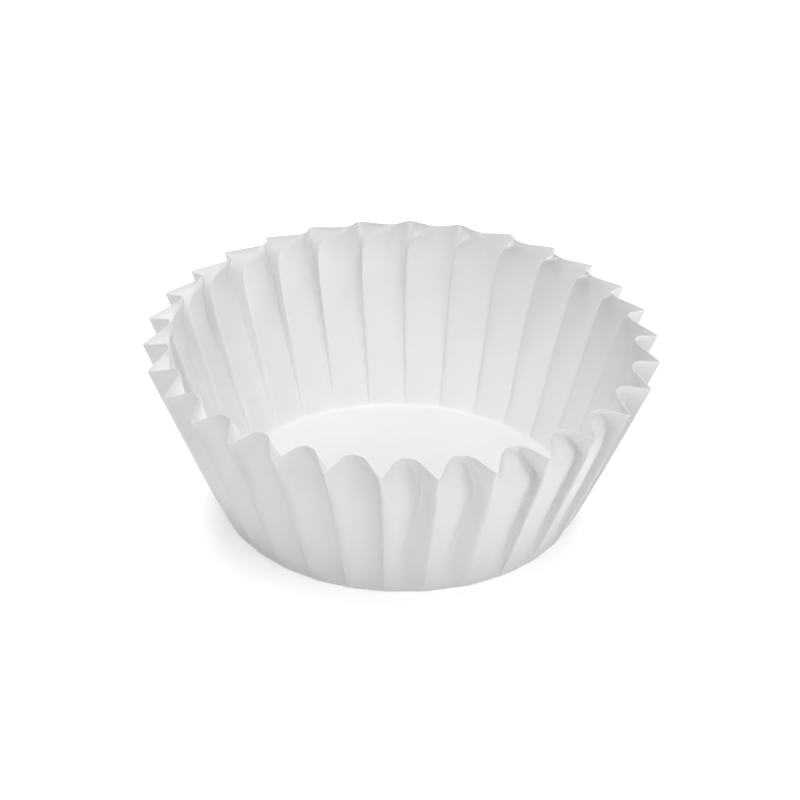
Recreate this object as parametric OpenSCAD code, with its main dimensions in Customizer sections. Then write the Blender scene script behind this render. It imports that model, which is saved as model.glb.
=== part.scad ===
// Fluted paper baking cup: one thin round of paper, pressed between two dies into a
// flat floor and a leaning wall of flutes, with nothing cut, joined or glued.
// The origin is the middle of the floor's underside, and +Z points out of the mouth.

/* [Floor] */
// Width of the floor, to the corner where its plane would meet the line of the wall
floor_d = 50; // [36:1:76]
// Radius of the bend from the floor into the wall
corner_r = 0.7; // [0.5:0.1:3]

/* [Wall] */
// Length of paper from the edge of the flat floor up to the rim
wall_len = 28.2; // [14:0.1:42]
// Lean of the wall from upright, in degrees
wall_lean = 20; // [10:1:32]

/* [Paper] */
// Thickness of the paper
paper_t = 0.08; // [0.05:0.01:0.2]

/* [Flutes] */
// Number of flutes round the wall
flutes = 30; // [20:1:42]
// Width of paper that curves at a flute's inner fold, where the wall leaves the floor
fold_w_low = 0.8; // [0.6:0.1:1.6]
// Width of paper that curves at the same fold at the rim, where it has sprung open
fold_w_rim = 3.4; // [1:0.1:4]
// Share of its own width by which a pressed flute's inner fold leans over sideways
lean = 0.42; // [0:0.01:0.44]
// Length of paper below the rim in which an inner fold leans over
lean_len = 3; // [1.5:0.1:6]
// Direction of the first outer crease, in degrees from +X towards +Y
first_crease = -92; // [-180:1:180]
// How much the flutes crowd and spread round the cup, from none in a perfect cup
unevenness = 1; // [0:0.1:1.2]

/* [Hidden] */

// The wall's centre line: a flat floor, a round corner, then a straight slope
corner_turn = 90 - wall_lean;
corner_len = corner_r * corner_turn * PI / 180;
flat_r = floor_d / 2 - corner_r * tan(corner_turn / 2);

// Lengths of paper from the flat floor at which the wall has a ring of points. One
// ring lies where the inner folds have leaned over, and one at the rim.
corner_rings = 2;
slope_rings = 4;
ring_crowding = 1.4; // above 1, the rings lie closer where the flutes begin
slope_len = wall_len - lean_len - corner_len;
ring_lens = concat(
  [for (k = [0:corner_rings]) corner_len * k / corner_rings],
  [for (k = [1:slope_rings]) corner_len + slope_len * pow(k / slope_rings, ring_crowding)],
  [wall_len]
);
rings = len(ring_lens);
rim = rings - 1;

// Straight steps in each half of an inner fold, and points in one whole flute
fold_steps = 3;
flute_points = 2 * fold_steps + 2;
ring_points = flutes * flute_points;

// Where the cup has sprung open the flutes stand upright: its direction at the floor
// and at the rim, its width in degrees, and how much later its folds lean over
open_low = -82;
open_rim = -110;
open_w = 26;
open_len = 2.7;

// Slow waves that push the flutes round the cup: waves in a turn, degrees, phase
WAVES = [[1, 1.25, 43], [2, 0.6, 119], [3, 0.45, 153]];

// Distance from the axis and height of the centre line, a length of paper up the wall
function line_at(len) =
  let (turn = min(len, corner_len) / corner_r * 180 / PI)
  let (rest = max(len - corner_len, 0))
  [
    flat_r + corner_r * sin(turn) + rest * sin(wall_lean),
    corner_r * (1 - cos(turn)) + rest * cos(wall_lean)
  ];

// Half of the paper's width that curves at an inner fold, a length up the wall. Most
// of its growth comes near the rim, as the square of the length.
function fold_half(len) =
  let (share = pow(len / wall_len, 2))
  (fold_w_low + (fold_w_rim - fold_w_low) * share) / 2;

// How far half a flute reaches round the cup, and how deep, when its flank slopes by
// an angle: a flat flank of paper, then a fold of constant curvature
function half_reach(slope, flank, fold) =
  flank * cos(slope) + fold * sin(slope) / (slope * PI / 180);
function half_depth(slope, flank, fold) =
  flank * sin(slope) + fold * (1 - cos(slope)) / (slope * PI / 180);

// The slope at which half a flute's paper just fills its half of the pitch
function fitted_slope(half_pitch, flank, fold, low = 0, high = 88, tries = 40) =
  let (middle = (low + high) / 2)
  tries == 0 ? middle
    : half_reach(middle, flank, fold) > half_pitch
      ? fitted_slope(half_pitch, flank, fold, middle, high, tries - 1)
      : fitted_slope(half_pitch, flank, fold, low, middle, tries - 1);

// Half a flute, from its outer crease to the middle of its inner fold. Each point is
// its share of the whole pitch and its distance out from the wall's centre line.
// The paper isn't stretched, so a ring of the flat round keeps its length in the
// flutes, and what the narrower ring of the wall doesn't need goes into their depth.
function half_flute(len) =
  let (half_pitch = PI * line_at(len)[0] / flutes)
  let (fold = fold_half(len))
  let (flank = PI * (flat_r + len) / flutes - fold)
  let (slope = fitted_slope(half_pitch, flank, fold))
  let (bend_r = fold / (slope * PI / 180))
  let (depth = half_depth(slope, flank, fold))
  concat(
    [[0, depth / 2]],
    [for (k = [fold_steps:-1:0])
      let (turn = slope * k / fold_steps)
      [
        (half_pitch - bend_r * sin(turn)) / (2 * half_pitch),
        bend_r * (1 - cos(turn)) - depth / 2
      ]]
  );

// A whole flute: the half flute, then its mirror image without the two end points
function whole_flute(half) = concat(
  half,
  [for (k = [len(half) - 2:-1:1]) [1 - half[k][0], half[k][1]]]
);

// How open the cup is at a direction: 1 in the middle of its open side, down to 0
function openness(towards, middle, width) =
  let (off = (towards - middle + 540) % 360 - 180)
  exp(-pow(off / width, 2));

// Place of an inner fold across its flute, a length up the wall: in the middle at the
// rim, then leaning over towards the next crease, and upright on the open side
function fold_place(len, towards) =
  let (open = openness(towards, open_low + (open_rim - open_low) * len / wall_len, open_w))
  let (late = 1 + (open_len - 1) * openness(towards, open_rim, 2 * open_w))
  let (below = (wall_len - len) / (lean_len * late))
  0.5 + lean * (1 - open) * below / pow(1 + pow(below, 4), 1 / 4);

// Depth of a leaning flute, when its two flanks need as much paper as upright ones
function leaned_depth(pitch, depth, place) =
  let (paper = 2 * norm([pitch / 2, depth]))
  let (flank = (paper * paper + pitch * pitch * (2 * place - 1)) / (2 * paper))
  sqrt(max(flank * flank - pow(place * pitch, 2), 0));

// A point of an upright flute, moved to where it lies once the flute leans over. The
// outer creases stay, and so does the order of the points.
function leaned(p, depth, new_depth, place) =
  let (drop = depth > 0 ? (depth / 2 - p[1]) / depth : 0)
  [
    p[0] < 0.5 ? p[0] * 2 * place : 1 - (1 - p[0]) * 2 * (1 - place),
    depth / 2 - drop * new_depth
  ];

// Direction of a point round the cup, once the sum of the waves has pushed it
function pushed(angle) =
  let (pushes = [for (w = WAVES) w[1] * sin(w[0] * angle + w[2])])
  angle + unevenness * (pushes * [for (w = WAVES) 1]);

// One ring of the paper's middle surface. The flutes move it square to the slope.
function middle_ring(len) =
  let (line = line_at(len))
  let (flute = whole_flute(half_flute(len)))
  let (depth = 2 * flute[0][1])
  [for (k = [0:flutes - 1])
    let (place = fold_place(len, first_crease + 360 * (k + 0.5) / flutes))
    let (new_depth = leaned_depth(2 * PI * line[0] / flutes, depth, place))
    for (upright = flute)
      let (p = leaned(upright, depth, new_depth, place))
      let (angle = pushed(first_crease + 360 * (k + p[0]) / flutes))
      let (r = line[0] + p[1] * cos(wall_lean))
      [r * cos(angle), r * sin(angle), paper_t / 2 + line[1] - p[1] * sin(wall_lean)]];

middle = [for (len = ring_lens) middle_ring(len)];

// Way out of the paper at a point, long enough at a crease to keep the thickness of
// the flanks on both sides: straight down under the floor
function unit(v) = v / norm(v);
function out_at(ring, i) =
  let (here = middle[ring][i])
  let (climb = middle[min(ring + 1, rim)][i] - middle[max(ring - 1, 0)][i])
  let (before = unit(cross(here - middle[ring][(i + ring_points - 1) % ring_points], climb)))
  let (after = unit(cross(middle[ring][(i + 1) % ring_points] - here, climb)))
  ring == 0 ? [0, 0, -1] : (before + after) / (1 + before * after);

// The points of one skin, its centre first, moved half the paper's thickness out
// (side = 1) or in (side = -1)
function skin_points(side) = concat(
  [[0, 0, (1 - side) * paper_t / 2]],
  [for (ring = [0:rings - 1], i = [0:ring_points - 1])
    middle[ring][i] + out_at(ring, i) * side * paper_t / 2]
);

// Number of a point in the outer skin
function spot(ring, i) = 1 + ring * ring_points + i % ring_points;

// Two triangles between four points, cut so that the flute's halves mirror each other
function cut(a, b, c, d, i) =
  i % flute_points < flute_points / 2 ? [[a, b, c], [a, c, d]] : [[a, b, d], [b, c, d]];

// The outer skin's triangles: the floor's fan, then the wall's rings
outer_faces = [
  for (i = [0:ring_points - 1]) [0, spot(0, i), spot(0, i + 1)],
  for (ring = [0:rings - 2], i = [0:ring_points - 1])
    each cut(
      spot(ring, i), spot(ring + 1, i), spot(ring + 1, i + 1), spot(ring, i + 1), i
    )
];

// The inner skin's are the same, turned over
skin_size = 1 + rings * ring_points;
inner_faces = [for (f = outer_faces) [f[0], f[2], f[1]] + skin_size * [1, 1, 1]];

// The cut edge of the paper closes the two skins at the rim
rim_faces = [
  for (i = [0:ring_points - 1])
    each cut(
      spot(rim, i), spot(rim, i) + skin_size,
      spot(rim, i + 1) + skin_size, spot(rim, i + 1), i
    )
];

// The whole cup: floor, corner and fluted wall in one sheet of paper
module cupcake_liner() {
  color("white")
    polyhedron(
      points = concat(skin_points(1), skin_points(-1)),
      faces = concat(outer_faces, inner_faces, rim_faces),
      convexity = 10
    );
}

cupcake_liner();
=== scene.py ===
# %% [markdown]
# # A fluted paper cupcake liner
# The real thing starts as a flat round of thin white paper. Two dies press it into a flat
# floor and a leaning wall of flutes. This notebook works in the same order: a plain cup is
# modelled first, then its wall is gathered into flutes, and last it gets the paper's
# thickness and finish. We begin by loading the measured model, which the new piece has to
# fit, and keep its box to compare with at the end.

import math

import bpy
import numpy as np
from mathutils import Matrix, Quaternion, Vector


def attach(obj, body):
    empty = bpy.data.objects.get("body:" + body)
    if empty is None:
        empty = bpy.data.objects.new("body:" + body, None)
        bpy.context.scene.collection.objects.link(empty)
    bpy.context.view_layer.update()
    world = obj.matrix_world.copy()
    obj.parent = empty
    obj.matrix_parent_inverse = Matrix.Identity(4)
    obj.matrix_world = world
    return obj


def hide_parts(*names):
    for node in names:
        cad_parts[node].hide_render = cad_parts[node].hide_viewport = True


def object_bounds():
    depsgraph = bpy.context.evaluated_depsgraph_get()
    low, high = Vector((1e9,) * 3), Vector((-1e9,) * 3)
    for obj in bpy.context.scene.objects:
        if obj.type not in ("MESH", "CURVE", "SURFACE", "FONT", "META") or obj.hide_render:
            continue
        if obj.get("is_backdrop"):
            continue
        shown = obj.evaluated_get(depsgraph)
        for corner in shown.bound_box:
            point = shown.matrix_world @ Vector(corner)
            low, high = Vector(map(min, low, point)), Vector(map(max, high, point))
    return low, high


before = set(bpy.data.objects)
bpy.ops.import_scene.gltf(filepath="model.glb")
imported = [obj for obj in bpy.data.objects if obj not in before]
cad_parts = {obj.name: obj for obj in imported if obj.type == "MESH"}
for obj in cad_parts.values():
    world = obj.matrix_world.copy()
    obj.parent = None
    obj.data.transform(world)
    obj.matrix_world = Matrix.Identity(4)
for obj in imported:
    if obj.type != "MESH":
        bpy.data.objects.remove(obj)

MM = 0.001


def in_mm(span):
    """A span in metres, as rounded millimetres to print."""
    return [round(v / MM, 2) for v in span]


measured_low, measured_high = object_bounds()
print(f"measured model: {len(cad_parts)} node, {in_mm(measured_high - measured_low)} mm")

# %% [markdown]
# ## Sizes
# These are the sizes that a maker would set on the dies, the same as in the measured model.
# The wall is drawn along its middle line: a flat floor, a round corner, then a straight
# slope. It could be typed in as points, but a function of the length of paper is better
# here, because paper keeps its length however it is folded.

# %% Sizes and middle line of the pressed paper
floor_d = 50 * MM  # to the corner where the floor's plane would meet the wall's line
corner_r = 0.7 * MM
wall_len = 28.2 * MM  # paper from the edge of the flat floor up to the rim
wall_lean = math.radians(20)
paper_t = 0.08 * MM
flutes = 30
first_crease = math.radians(-92)

corner_turn = math.pi / 2 - wall_lean
corner_len = corner_r * corner_turn
flat_r = floor_d / 2 - corner_r * math.tan(corner_turn / 2)


def line_at(up):
    """Distance from the axis and height of the plain wall, a length of paper up it."""
    turn = np.clip(up, 0, corner_len) / corner_r
    rest = np.maximum(up - corner_len, 0)
    out = flat_r + corner_r * np.sin(turn) + rest * math.sin(wall_lean)
    return out, corner_r * (1 - np.cos(turn)) + rest * math.cos(wall_lean)


rim_out, rim_height = line_at(wall_len)
print(f"plain wall ends {rim_out / MM:.2f} mm out and {rim_height / MM:.2f} mm up")

# %% [markdown]
# ## The plain cup
# Before the flutes there is a plain cup: a disc for the floor, with a leaning wall. It could
# be a cone primitive, but then the round corner and all the rings of the wall would have to
# be cut in afterwards. It is easier to start from one circle at the floor's edge, with a
# vertex for every point that a flute will need, and to extrude and widen it ring by ring.

# %% Extrude the wall from the floor's edge
flute_points = 24
ring_points = flutes * flute_points
corner_rings = 4
wall_rings = 52
ring_lens = np.concatenate([
    np.linspace(0, corner_len, corner_rings + 1),
    np.linspace(corner_len, wall_len, wall_rings + 1)[1:],
])


def report(piece):
    """Prints a piece's number of faces and its size."""
    print(f"{piece.name}: {len(piece.data.polygons)} faces, {in_mm(piece.dimensions)} mm")


bpy.ops.object.select_all(action="DESELECT")
bpy.ops.mesh.primitive_circle_add(vertices=ring_points, radius=flat_r)
liner = bpy.context.object
liner.name = "paper_liner"
liner.data.name = "paper_liner"

bpy.ops.object.mode_set(mode="EDIT")
bpy.ops.mesh.select_mode(type="VERT")
bpy.ops.mesh.select_all(action="SELECT")
for before, after in zip(ring_lens[:-1], ring_lens[1:]):
    out_before, height_before = line_at(before)
    out_after, height_after = line_at(after)
    rise = height_after - height_before
    bpy.ops.mesh.extrude_region_move(TRANSFORM_OT_translate={"value": (0, 0, rise)})
    widen = out_after / out_before
    bpy.ops.transform.resize(value=(widen, widen, 1), center_override=(0, 0, height_after))
bpy.ops.object.mode_set(mode="OBJECT")
report(liner)

# %% [markdown]
# The floor is pressed from the same sheet, so it has to join the wall without a seam. One
# big face would do for a flat disc, but a face with hundreds of corners shades badly. So the
# first circle is drawn inwards ring by ring, and the last small ring is merged to a point.

# %% Draw the floor inwards
floor_rings = 8
last_ring = 0.25  # size of the ring that is merged, in widths of the other rings


def select_ring(piece, height, radius, slack=0.01 * MM):
    """Selects only the vertices that lie at a height and a distance from the axis."""
    bpy.ops.object.mode_set(mode="EDIT")
    bpy.ops.mesh.select_all(action="DESELECT")
    bpy.ops.object.mode_set(mode="OBJECT")
    for v in piece.data.vertices:
        off = abs(math.hypot(v.co.x, v.co.y) - radius)
        v.select = off < slack and abs(v.co.z - height) < slack


select_ring(liner, 0, flat_r)
bpy.ops.object.mode_set(mode="EDIT")
for ring in range(floor_rings, 0, -1):
    bpy.ops.mesh.extrude_region_move(TRANSFORM_OT_translate={"value": (0, 0, 0)})
    narrow = max(ring - 1, last_ring) / ring
    bpy.ops.transform.resize(value=(narrow, narrow, 1), center_override=(0, 0, 0))
bpy.ops.mesh.merge(type="CENTER")
bpy.ops.mesh.select_all(action="SELECT")
bpy.ops.mesh.normals_make_consistent(inside=False)
bpy.ops.object.mode_set(mode="OBJECT")
report(liner)

# %% [markdown]
# ## The flutes
# Paper doesn't stretch. A ring of the flat round is longer than the same ring of the leaning
# wall, and the length that is left over has to go somewhere: it goes into the flutes. So the
# depth of a flute isn't drawn, it is worked out from the paper. First the plainest case, an
# even upright flute: half of it is a flat flank and a bend at the inner fold, and the flank
# slopes so that the paper just fills its share of the ring. Its depth says how far out of the
# plain wall the outer creases stand, all the way up.

# %% Depth of an even, upright flute
fold_w_low = 0.8 * MM  # paper that curves at an inner fold, where the wall leaves the floor
fold_w_rim = 3.4 * MM  # the same at the rim, where the fold has sprung open
flattest, steepest = 1e-4, 1.5  # slopes of a flank, in radians


def bisect(too_low, low, high, tries=40):
    """Solves for many unknowns at once: halves the range until too_low changes."""
    low, high = np.broadcast_arrays(low, high)
    for _ in range(tries):
        middle = (low + high) / 2
        below = too_low(middle)
        low = np.where(below, middle, low)
        high = np.where(below, high, middle)
    return (low + high) / 2


def pitch_at(up):
    """Room for one flute round the plain wall."""
    return 2 * math.pi * line_at(up)[0] / flutes


def paper_at(up):
    """Length of paper that has to fit in that room."""
    return 2 * math.pi * (flat_r + up) / flutes


def upright_depth(up):
    """Depth of a flute whose two flanks are alike, a length of paper up the wall."""
    fold = (fold_w_low + (fold_w_rim - fold_w_low) * (up / wall_len) ** 2) / 2
    flank = paper_at(up) / 2 - fold

    def too_wide(slope):
        return flank * np.cos(slope) + fold * np.sin(slope) / slope > pitch_at(up) / 2

    slope = bisect(too_wide, flattest, steepest + 0 * up)
    return flank * np.sin(slope) + fold * (1 - np.cos(slope)) / slope


print(f"upright flutes are {upright_depth(wall_len) / MM:.2f} mm deep at the rim")

# %% [markdown]
# A real liner comes out of a tight stack, so its flutes don't stand upright. Just under the
# cut edge each inner fold leans over until it lies next to the following crease, and it
# stays there nearly down to the floor. Only at the front have a few flutes sprung open:
# their folds lean less, and lowest down they don't lean at all. Each flute could be moved by
# hand, but a size that fades off with the direction is easier to change. A few random
# numbers then make every flute a little unlike the others.

# %% Which flutes stand open
relaxed_at = math.radians(-82)  # the middle of the open flutes
relaxed_w = math.radians(13.5)
relaxed_edge = 3  # how steeply the next flutes close
relaxed_rim = 0.5  # how open they are near the rim, where 1 is wholly open
relaxed_from = 6 * MM  # how far below the rim they open more
relaxed_to = 21 * MM  # and where they are wholly open

# Four numbers between -1 and 1 for each flute
chance = np.random.default_rng(5)
unlike = chance.uniform(-1, 1, (4, flutes))
middles = first_crease + 2 * math.pi * (np.arange(flutes) + 0.5) / flutes


def turn_between(a, b):
    """Angle from one direction to another, the short way round."""
    return (a - b + math.pi) % (2 * math.pi) - math.pi


def around(towards, middle, width):
    """1 in one direction, falling smoothly to 0 on both sides of it."""
    return np.exp(-((turn_between(towards, middle) / width) ** 2))


def relaxed(up, towards):
    """1 where the flutes stand wholly open, falling to 0 round the rest of the cup."""
    beside = np.abs(turn_between(towards, relaxed_at) / relaxed_w) ** relaxed_edge
    share = np.clip((wall_len - up - relaxed_from) / (relaxed_to - relaxed_from), 0, 1)
    return np.exp(-beside) * (relaxed_rim + (1 - relaxed_rim) * share)


print(np.sum(relaxed(0, middles) > 0.5), "flutes stand open at the floor")

# %% [markdown]
# Seen from above, a fold lies somewhere between two outer creases. On the rim it is near the
# middle. Below the rim it goes over towards the next crease, and from a kink on down it stays
# over. The kink lies just under the rim, and farther down at the front. Where the wall has
# paper to spare, the fold even slips under the next crease a little. A Simple Deform modifier
# can twist the whole cup, but not one flute at a time, so the place is worked out here.

# %% How far the inner folds lean
rim_shift = 0.1  # share of the pitch by which the folds stand off the middle on the rim
rim_shift_at = math.radians(-40)
open_place = 0.45  # place of an open flute's fold, as a share of the pitch
kink_below = 2.0 * MM  # how far below the rim a fold has gone over
kink_below_front = 6.5 * MM
kink_at = math.radians(-75)
kink_w = math.radians(35)
kink_crisp = 4  # how suddenly it stops going over there
kink_crisp_front = 8
kink_unlike = 0.25  # how much this height differs from flute to flute
lean_top = 0.42  # share of the pitch that a fold leans over by, just under the rim
lean_more = 0.08  # and how much more it leans lower down
lean_more_len = 4 * MM
lean_unlike = 0.03
overlap = 0.15  # how far it goes under the next crease, as a share of the spare paper
overlap_front = 0.5  # and how much farther at the front
fold_most = 0.96  # the farthest it can go, as a share of the pitch
fold_most_spare = 0.43  # and how much farther for each share of spare paper
bulge_at = math.radians(-62)  # the front flutes, with looser flanks than the others
bulge_w = math.radians(48)


def rim_place(towards):
    """Place of the folds on the rim, as a share of the pitch."""
    return 0.5 + rim_shift * np.cos(towards - rim_shift_at)


def gone_over(up, towards):
    """How far the folds have gone over: 0 on the rim, 1 from the kink on down."""
    front = around(towards, kink_at, kink_w)
    kink = kink_below + (kink_below_front - kink_below) * front
    below = (wall_len - up) / (kink * (1 + kink_unlike * unlike[0]))
    crisp = kink_crisp + (kink_crisp_front - kink_crisp) * front
    return below / (1 + below**crisp) ** (1 / crisp)


def fold_place(up, towards):
    """Place of the inner folds, as a share of the pitch."""
    tight = 1 - relaxed(up, towards)
    spare = paper_at(up) / pitch_at(up) - 1
    more = lean_more + spare * (overlap + overlap_front * around(towards, bulge_at, bulge_w))
    lean = lean_top + lean_unlike * unlike[1]
    lean = lean + more * (1 - math.exp((up - wall_len) / lean_more_len))
    start = rim_place(towards) + (open_place - rim_place(towards)) * (1 - tight)
    fold = start + gone_over(up, towards) * tight * (0.5 + lean - start)
    return np.minimum(fold, fold_most + fold_most_spare * spare)


half_up = fold_place(wall_len / 2, middles)
print(f"half way up the folds lie at {half_up.min():.2f} to {half_up.max():.2f} of the pitch")

# %% [markdown]
# A leaning fold leaves one flank long and the other short. Near the rim the long flank still
# remembers the upright fold, as a soft bend. At the front it does the opposite lower down:
# it bulges out, and rounds into a dome on the rim itself. The short flank also has a small
# facet under the rim, where the paper turns from the upright edge to the leaning fold. Five
# corners are enough for all of this, and a straight line between each two.

# %% The corners of a flute
bend_at = 0.9  # where the soft bend lies, as a share of the place of the rim's fold
bend_keep = 1.3  # its depth just under the rim, where 1 is as deep as the fold itself
bend_len = 9 * MM  # how far below the rim it fades
bend_unlike = 0.35
bulge_place = 0.5  # where a front flank bulges most, as a share of the way to its fold
bulge = 0.75  # share of its depth that it loses there
dome = 0.6  # how far it bends in on the rim instead, where 1 is as deep as the fold
dome_len = 2.5 * MM  # how far below the rim that ends


def flank_bend(up, towards, fold):
    """Place of the bend in the long flank, and its depth as a share of the fold's."""
    front = around(towards, bulge_at, bulge_w)
    fade = np.exp(-(((wall_len - up) / bend_len) ** 2))
    keep = bend_keep * (1 + bend_unlike * unlike[2]) * (1 - relaxed(up, towards)) * fade
    domed = np.exp(-(((wall_len - up) / dome_len) ** 2))
    keep = keep * (1 - front) + front * (dome * domed - bulge * (1 - domed))
    bend = bend_at * rim_place(towards)
    bend = bend + (bulge_place * fold - bend) * front
    straight = bend / fold
    return bend, straight + np.where(keep > 0, keep * (1 - straight), keep * straight)


def flute_corners(up, towards):
    """Corners of flutes before they are rounded: share of the pitch, share of the depth.

    They are the outer crease, the soft bend, the inner fold, the edge of the small facet
    under the rim, and the next outer crease.
    """
    over = gone_over(up, towards)
    fold = fold_place(up, towards)
    bend, bend_depth = flank_bend(up, towards, fold)
    facet = 1 - over * (1 - fold)
    zero, one = 0 * fold, 1 + 0 * fold
    return (
        np.stack([zero, bend, fold, facet, one], -1),
        np.stack([zero, bend_depth, one, over, zero], -1),
    )


shares, depths = flute_corners(wall_len / 2, middles)
print("half way up, the first flute's corners are at", shares[0].round(2), depths[0].round(2))

# %% [markdown]
# The corners make a crooked line, and paper doesn't bend as sharply as that. A bevel would
# give every corner the same round. Instead every point becomes the average of its
# neighbourhood on the line, and that neighbourhood is wide where the paper has sprung open
# and narrow at a pressed crease.

# %% Average a crooked line
samples = 40  # on each straight flank


def line_lengths(across, drop):
    """Length of a crooked line up to each of its corners."""
    steps = np.hypot(np.diff(across), np.diff(drop))
    return np.concatenate([0 * across[:, :1], np.cumsum(steps, 1)], 1)


def averaged(across, drop, wanted, spread, pitch):
    """Each wanted point of a ring's flutes, averaged with its neighbours on the line."""
    lengths = line_lengths(across, drop)
    inside = (np.arange(samples) + 0.5) / samples

    def spaced(corners):
        steps = corners[:, 1:, None] - corners[:, :-1, None]
        return (corners[:, :-1, None] + steps * inside).reshape(len(corners), -1)

    share = np.repeat(np.diff(lengths), samples, 1)
    place, x, y = spaced(lengths), spaced(across), spaced(drop)
    # The flute before and the one after are taken to be the same, so that a crease at
    # the end of the line has neighbours on both sides
    whole = lengths[:, -1:]
    place = np.hstack([place - whole, place, place + whole])
    x, y, share = np.hstack([x - pitch, x, x + pitch]), np.tile(y, 3), np.tile(share, 3)
    off = (wanted[:, :, None] - place[:, None]) / spread[:, :, None]
    weight = np.exp(-(off**2) / 2) * share[:, None]
    weight /= weight.sum(2, keepdims=True)
    return (weight * x[:, None]).sum(2), (weight * y[:, None]).sum(2)


print("each point is averaged over", 3 * 4 * samples, "places, on four flanks of three flutes")

# %% [markdown]
# These are the widths of that average. A pressed crease is sharp, and the wall's outer
# creases are a little softer on the rim and at the front. The inner folds are roundest on
# the rim, where nothing holds them, and they fade out softly where the wall meets the floor.
# A few at the left of the front stay soft far below the rim.

# %% How round the folds are
crease_round = 0.08 * MM
crease_round_rim = 0.22 * MM
crease_round_front = 0.3 * MM
crease_clear = 1 * MM  # the other roundings die out over this, towards a crease
bend_round = 0.35 * MM
bulge_round = 1.1 * MM
bend_round_reach = 2.2 * MM
bend_clear = 1.2 * MM  # and the bend's over this, towards the fold
fold_round_rim = 2.1 * MM
fold_round_soft = 1.5 * MM
fold_round_low = 0.8 * MM
fold_round_reach = 2.6 * MM  # how far across the flanks the rounding of a fold reaches
fold_round_more = 0.5  # how much farther it reaches on the rim at the front
rim_round_reach = 1.0 * MM  # how far below the rim the folds are still sprung open
soft_at = math.radians(-112)
soft_w = math.radians(18)
round_unlike = 0.15


def round_widths(up, towards, wanted, bend, fold, whole):
    """How widely the paper is averaged at each wanted point of a ring."""
    near_rim = math.exp(-(((wall_len - up) / rim_round_reach) ** 2))
    front = around(towards, bulge_at, bulge_w)[:, None]
    crease = crease_round + (crease_round_rim - crease_round) * near_rim
    crease = crease + (crease_round_front - crease_round) * front * (1 - near_rim)

    soft = around(towards, soft_at, soft_w) * up / wall_len
    fold_round = np.maximum(fold_round_rim * near_rim, fold_round_soft * soft)
    fold_round = np.maximum(fold_round, fold_round_low * (1 - up / wall_len) ** 2)
    fold_round = (fold_round * (1 + round_unlike * unlike[3]))[:, None]
    reach = fold_round_reach * (1 + fold_round_more * front * near_rim)
    at_fold = fold_round * np.exp(-(((wanted - fold) / reach) ** 2))

    at_bend = bend_round + (bulge_round - bend_round) * front
    at_bend = at_bend * np.exp(-(((wanted - bend) / bend_round_reach) ** 2))
    at_bend = at_bend * np.minimum(np.abs(fold - wanted) / bend_clear, 1)
    clear = np.minimum(np.minimum(wanted, whole - wanted) / crease_clear, 1)
    return crease + np.maximum(at_fold, at_bend) * clear


print(f"the widest average is {fold_round_rim / MM:.1f} mm, at an inner fold on the rim")

# %% [markdown]
# A flute has 24 points round it. Spread evenly they would miss the creases, so they crowd
# towards the corners. The depth of the flute is then stretched until its line is as long as
# the paper that has to go into it. Rounding shortens the line a little, so the fit is done
# three times, each time from a slightly longer line.

# %% Fit the paper's length
crease_to_bend = np.array([0, 0.04, 0.12, 0.35, 0.7])
bend_to_fold = np.array([0, 0.25, 0.5, 0.72, 0.86, 0.94, 0.98])
fold_to_facet = np.array([0, 0.04, 0.12, 0.28, 0.52, 0.76])
facet_to_crease = np.array([0, 0.24, 0.48, 0.72, 0.88, 0.96])
facet_least = 0.2  # the facet's edge stays this far from both ends of the short flank
fits = 3


def wanted_points(bend, fold, facet, whole):
    """Where the points of a flute lie along its line, crowded towards the corners."""
    short = whole - fold
    facet = fold + np.clip(facet - fold, facet_least * short, (1 - facet_least) * short)
    return np.hstack([
        bend * crease_to_bend,
        bend + (fold - bend) * bend_to_fold,
        fold + (facet - fold) * fold_to_facet,
        facet + (whole - facet) * facet_to_crease,
    ])


def ring_section(up, towards):
    """The flutes of one ring: distance across the pitch, and drop in from the crease."""
    shares, depths = flute_corners(up, towards)
    pitch, paper = pitch_at(up), paper_at(up)

    def corners(depth):
        return shares * pitch, depths * depth[:, None]

    def too_short(depth):
        return line_lengths(*corners(depth))[:, -1] < target

    target = paper + 0 * towards
    for _ in range(fits):
        depth = bisect(too_short, 0 * target, target / 2)
        _, bend, fold, facet, whole = line_lengths(*corners(depth)).T[..., None]
        wanted = wanted_points(bend, fold, facet, whole)
        spread = round_widths(up, towards, wanted, bend, fold, whole)
        across, drop = averaged(*corners(depth), wanted, spread, pitch)
        closed = np.hstack([across, across[:, :1] + pitch]), np.hstack([drop, drop[:, :1]])
        target = target * paper / line_lengths(*closed)[:, -1]
    return across, drop - drop[:, :1]


rim_drop = ring_section(wall_len, middles)[1].max(1) / MM
print(f"flutes on the rim are {rim_drop.min():.2f} to {rim_drop.max():.2f} mm deep")

# %% [markdown]
# No press is perfectly even: round the cup the flutes crowd a little here and spread a
# little there. Three slow waves give that. Then each vertex of the plain wall is asked how
# far up it lies and which point of a flute it is, and it moves there. The vertices could be
# pulled into place with a Displace modifier, but that can't tuck a fold under a crease.

# %% Gather the wall into flutes
waves = [(1, 1.25, 43), (2, 0.6, 119), (3, 0.45, 153)]  # waves in a turn, degrees, phase
least_up = 0.001 * MM  # for the floor, where a flute has no depth to work out


def pushed(angle):
    """Direction of a point round the cup, once the waves have pushed it."""
    for times, push, phase in waves:
        angle = angle + math.radians(push) * np.sin(times * angle + math.radians(phase))
    return angle


def all_sections():
    """Every ring's flutes, as shares of the pitch across and as drops."""
    sections = [ring_section(up, middles) for up in ring_lens]
    across = [section[0] / pitch_at(up) for up, section in zip(ring_lens, sections)]
    return np.array(across), np.array([section[1] for section in sections])


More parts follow.
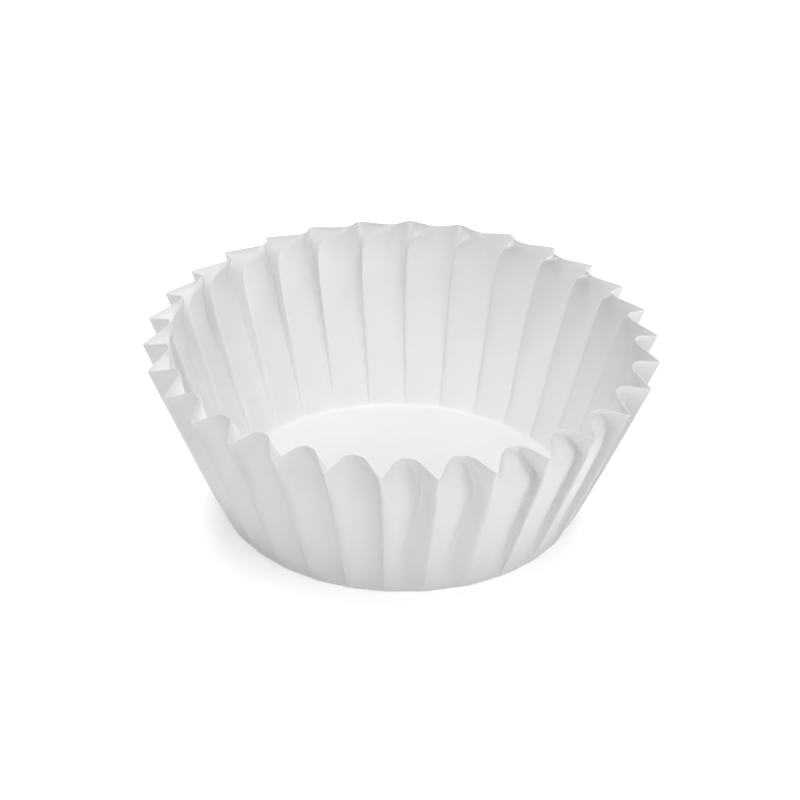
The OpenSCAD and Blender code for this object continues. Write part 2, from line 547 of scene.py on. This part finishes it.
def gather(piece):
    """Moves the wall's vertices into flutes, and turns the floor's with them."""
    mesh = piece.data
    spots = np.empty(3 * len(mesh.vertices))
    mesh.vertices.foreach_get("co", spots)
    spots = spots.reshape(-1, 3)

    # The ring, the flute and the point of the flute that each vertex belongs to
    radius = np.hypot(spots[:, 0], spots[:, 1])
    ring = np.interp(radius, line_at(ring_lens)[0], np.arange(len(ring_lens)))
    ring = np.rint(ring).astype(int)
    number = np.rint(np.arctan2(spots[:, 1], spots[:, 0]) * ring_points / (2 * math.pi))
    flute, point = np.divmod(number.astype(int) % ring_points, flute_points)

    # Its new place: the flutes move it square to the slope, and the floor stays flat
    across, drop = all_sections()
    up = ring_lens[ring]
    out = upright_depth(np.maximum(up, least_up)) / 2 - drop[ring, flute, point]
    out = np.where(ring > 0, out, 0)
    angle = pushed(first_crease + 2 * math.pi * (flute + across[ring, flute, point]) / flutes)
    far = radius + out * math.cos(wall_lean)
    height = np.where(ring > 0, line_at(up)[1] - out * math.sin(wall_lean), 0)
    height = np.maximum(height, 0) + paper_t / 2
    spots = np.stack([far * np.cos(angle), far * np.sin(angle), height], 1)
    mesh.vertices.foreach_set("co", spots.ravel())
    mesh.update()


gather(liner)
report(liner)

# %% [markdown]
# ## The paper's thickness
# So far the liner is a skin with no thickness, and a real one shows a thin cut edge. The
# skin could be copied and moved out, but Solidify does that in one step: it gives the paper
# two sides and closes the edge at the rim. Smooth shading by angle keeps that edge crisp.
# The finished piece then takes the place of the measured one.

# %% Give the paper its thickness
sharp_from = math.radians(50)  # edges that bend more than this stay crisp


def only(piece):
    """Makes one piece the selected and active one, for the operators that follow."""
    bpy.ops.object.select_all(action="DESELECT")
    piece.select_set(True)
    bpy.context.view_layer.objects.active = piece


only(liner)
thickness = liner.modifiers.new("Thickness", "SOLIDIFY")
thickness.thickness = paper_t
thickness.offset = 0
bpy.ops.object.modifier_apply(modifier=thickness.name)
bpy.ops.object.shade_smooth_by_angle(angle=sharp_from)
report(liner)

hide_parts("cupcake_liner")
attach(liner, "root")

# %% [markdown]
# ## The paper's finish
# A finish is a set of nodes joined by links. Written out in full they hide the idea, so two
# small classes do the wiring. A socket can be added and multiplied like a number, and one
# method adds any node, sets it and feeds its sockets.

# %% Write shaders as sums
class Socket:
    """A shader value. A sum written with it adds its Math nodes."""

    def __init__(self, shader, link):
        self.shader = shader
        self.link = link

    def math(self, operation, other):
        return self.shader.node("Math", {"operation": operation}, {0: self, 1: other})

    def __add__(self, other):
        return self.math("ADD", other)

    def __mul__(self, other):
        return self.math("MULTIPLY", other)

    __radd__ = __add__
    __rmul__ = __mul__


class Shader:
    """The nodes of one material or of the world."""

    def __init__(self, owner):
        owner.use_nodes = True
        self.tree = owner.node_tree
        self.tree.nodes.clear()

    def node(self, kind, settings, sockets, out=0):
        """Adds a node, sets it, feeds its sockets and gives one of its outputs."""
        node = self.tree.nodes.new("ShaderNode" + kind)
        for name, value in settings.items():
            setattr(node, name, value)
        for name, value in sockets.items():
            if isinstance(value, Socket):
                self.tree.links.new(value.link, node.inputs[name])
            else:
                node.inputs[name].default_value = value
        return Socket(self, node.outputs[out]) if len(node.outputs) else None


print("helpers for shaders:", Socket.__name__, "and", Shader.__name__)

# %% [markdown]
# Greaseproof baking paper is a plain white with a faint satin sheen, and it lets some light
# through, so the far side of the wall glows a little. A photograph of paper could be laid
# on, but two noises are enough: a wide one that clouds the white, and a fine one for the
# fibres, which roughens the sheen and gives the faintest bump. The light that comes through
# is a second, translucent shader, mixed in at a fixed share.

# %% White baking paper
cloud_scale = 160
fibre_scale = 1800
darkest_white = (0.86, 0.86, 0.86, 1)
lightest_white = (0.9, 0.9, 0.9, 1)
fibre_height = 0.01 * MM
least_rough = 0.33
fibre_rough = 0.2  # how much rougher the sheen is on a fibre
let_through = 0.28  # share of the translucent shader


def mixed_colours(shader, factor, first, second):
    """Mixes two colours. A Mix node has other sockets for its other kinds of value."""
    return shader.node("Mix", {"data_type": "RGBA"}, {0: factor, 6: first, 7: second}, out=2)


def baking_paper():
    """Plain white paper with a faint sheen, through which some light comes."""
    material = bpy.data.materials.new("baking_paper")
    paper = Shader(material)
    place = paper.node("TexCoord", {}, {}, out="Object")
    cloud = paper.node("TexNoise", {}, {"Vector": place, "Scale": cloud_scale, "Detail": 2}, out="Fac")
    fibre = paper.node("TexNoise", {}, {"Vector": place, "Scale": fibre_scale, "Detail": 3}, out="Fac")
    bump = paper.node("Bump", {}, {"Height": fibre, "Distance": fibre_height, "Strength": 0.5})
    body = paper.node("BsdfPrincipled", {}, {
        "Base Color": mixed_colours(paper, cloud, darkest_white, lightest_white),
        "Roughness": fibre * fibre_rough + least_rough,
        "Normal": bump,
    })
    through = paper.node("BsdfTranslucent", {}, {"Color": lightest_white, "Normal": bump})
    sheet = paper.node("MixShader", {}, {0: let_through, 1: body, 2: through})
    paper.node("OutputMaterial", {}, {"Surface": sheet})
    return material


liner.data.materials.clear()
liner.data.materials.append(baking_paper())
print("baking paper has", len(liner.data.materials[0].node_tree.nodes), "nodes")

# %% [markdown]
# ## The table and the background
# The liner stands on a plain white surface that has no edge in the picture. A curved
# backdrop would do that, and so does a big flat table if it is as white as the world behind
# it. So rays are told apart by their kind. Those that come from the camera, straight or by
# the sheen of the paper, see a glowing table and a white world, while the rest find only the
# table's own colour and a faint world. Light that comes through the paper sees the table's
# glow too, but not the white world, which would light up the paper itself. The liner's
# shadow stays on the table.

# %% A plain pale table and a white background
CAMERA, GLOSSY, THROUGH = "Is Camera Ray", "Is Glossy Ray", "Is Transmission Ray"
white = (1, 1, 1, 1)
table_white = (0.92, 0.92, 0.92, 1)
table_glow = 0.42
soft_light = 0.13


def seen_by(shader, first, *others):
    """1 for rays of these kinds, 0 for all others."""
    share = shader.node("LightPath", {}, {}, out=first)
    for kind in others:
        share = share + shader.node("LightPath", {}, {}, out=kind)
    return share


def table_top():
    """A matt pale surface with a glow that lifts it to white in the picture."""
    material = bpy.data.materials.new("table_top")
    top = Shader(material)
    matt = top.node("BsdfDiffuse", {}, {"Color": table_white})
    strength = seen_by(top, CAMERA, GLOSSY, THROUGH) * table_glow
    glow = top.node("Emission", {}, {"Color": white, "Strength": strength})
    both = top.node("AddShader", {}, {0: matt, 1: glow})
    top.node("OutputMaterial", {}, {"Surface": both})
    return material


def studio():
    """A world that is white to look at and gives only a soft light."""
    world = bpy.data.worlds.new("studio")
    sky = Shader(world)
    soft = sky.node("Background", {}, {"Color": white, "Strength": soft_light})
    bright = sky.node("Background", {}, {"Color": white, "Strength": 1})
    both = sky.node("MixShader", {}, {0: seen_by(sky, CAMERA, GLOSSY), 1: soft, 2: bright})
    sky.node("OutputWorld", {}, {"Surface": both})
    return world


bpy.ops.object.select_all(action="DESELECT")
bpy.ops.mesh.primitive_plane_add(size=4)
table = bpy.context.object
table.name = "table"
table.data.materials.append(table_top())
table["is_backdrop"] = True
bpy.context.scene.world = studio()
print(f"the table is {table.dimensions.x:.0f} m wide")

# %% [markdown]
# ## The lamps
# The photograph is lit softly from nearly everywhere, and a little more from above and
# behind, so that the floor and the far wall are the lightest. One bright world would light
# all sides alike and hide the flutes. Four big square lamps give soft shading that still
# falls from one side, and from the photograph's side they are weak enough that the paper
# doesn't burn out.

# %% Four soft lamps
def lamp(name, towards, height, distance, size, power):
    """A square lamp that looks at the liner from a direction and a height, in degrees."""
    turn, rise = math.radians(towards), math.radians(height)
    place = distance * Vector((
        math.cos(turn) * math.cos(rise), math.sin(turn) * math.cos(rise), math.sin(rise)
    ))
    bpy.ops.object.light_add(type="AREA", location=place)
    light = bpy.context.object
    light.name = name
    light.data.size = size
    light.data.energy = power
    light.rotation_euler = (-place).to_track_quat("-Z", "Y").to_euler()
    print(f"{name}: {power} W, {distance} m away")


lamp("top_light", 0, 90, 0.8, 0.5, 4.15)
lamp("front_light", -90, 45, 0.8, 0.5, 1.38)
lamp("right_light", -30, 20, 0.8, 0.4, 1.22)
lamp("back_light", 90, 25, 0.8, 0.5, 5.1)

# %% [markdown]
# ## The camera
# The photograph was taken from the front and from above, with a long lens and the camera
# turned a little. Its distance, height and lens were found by laying the creases of the
# rim and the edge of the floor over the picture. The camera could be aimed at an empty
# object, but it is plainer to work out its aim from the pixel where the middle of the
# underside has to be.

# %% Aim the camera
camera_distance = 511.8 * MM
camera_rise = math.radians(32.5)
camera_lens = 159.7
camera_roll = math.radians(1.22)
sensor_width = 36
photo_px = 800
foot_px = (398.6, 495.4)  # where the photograph shows the middle of the underside

back = Vector((0, -math.cos(camera_rise), math.sin(camera_rise)))
right = Vector((1, 0, 0))
above = back.cross(right)
rolled_right = math.cos(camera_roll) * right + math.sin(camera_roll) * above
rolled_above = math.cos(camera_roll) * above - math.sin(camera_roll) * right
px = camera_distance / (camera_lens / sensor_width * photo_px)
aim = rolled_right * (photo_px / 2 - foot_px[0]) * px
aim = aim + rolled_above * (foot_px[1] - photo_px / 2) * px

bpy.ops.object.camera_add(location=back * camera_distance)
camera = bpy.context.object
camera.data.lens = camera_lens
camera.data.sensor_width = sensor_width
look = (aim - camera.location).to_track_quat("-Z", "Y")
camera.rotation_mode = "QUATERNION"
camera.rotation_quaternion = look @ Quaternion((0, 0, 1), camera_roll)
camera.data.clip_start = 0.01
camera.data.clip_end = 10
print(f"the camera looks {in_mm(aim)} mm from the middle of the underside")

# %% [markdown]
# ## The picture's settings
# A white surface has to stay the white that it was given, so the view transform is the
# plain one. Light bounces many times between the walls of a white cup, and with too few
# bounces the folds would turn grey.

# %% Set the render
scene = bpy.context.scene
scene.camera = camera
scene.view_settings.view_transform = "Standard"
scene.cycles.diffuse_bounces = 8
print("up to", scene.cycles.diffuse_bounces, "bounces of light")

# %% [markdown]
# ## Does it fit?
# The new liner should fill the same box as the measured one. Both boxes are written down,
# so that they can be compared later.

# %% Compare with the measured model and finish
low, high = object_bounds()
print(f"measured {in_mm(measured_high - measured_low)} mm, made {in_mm(high - low)} mm")
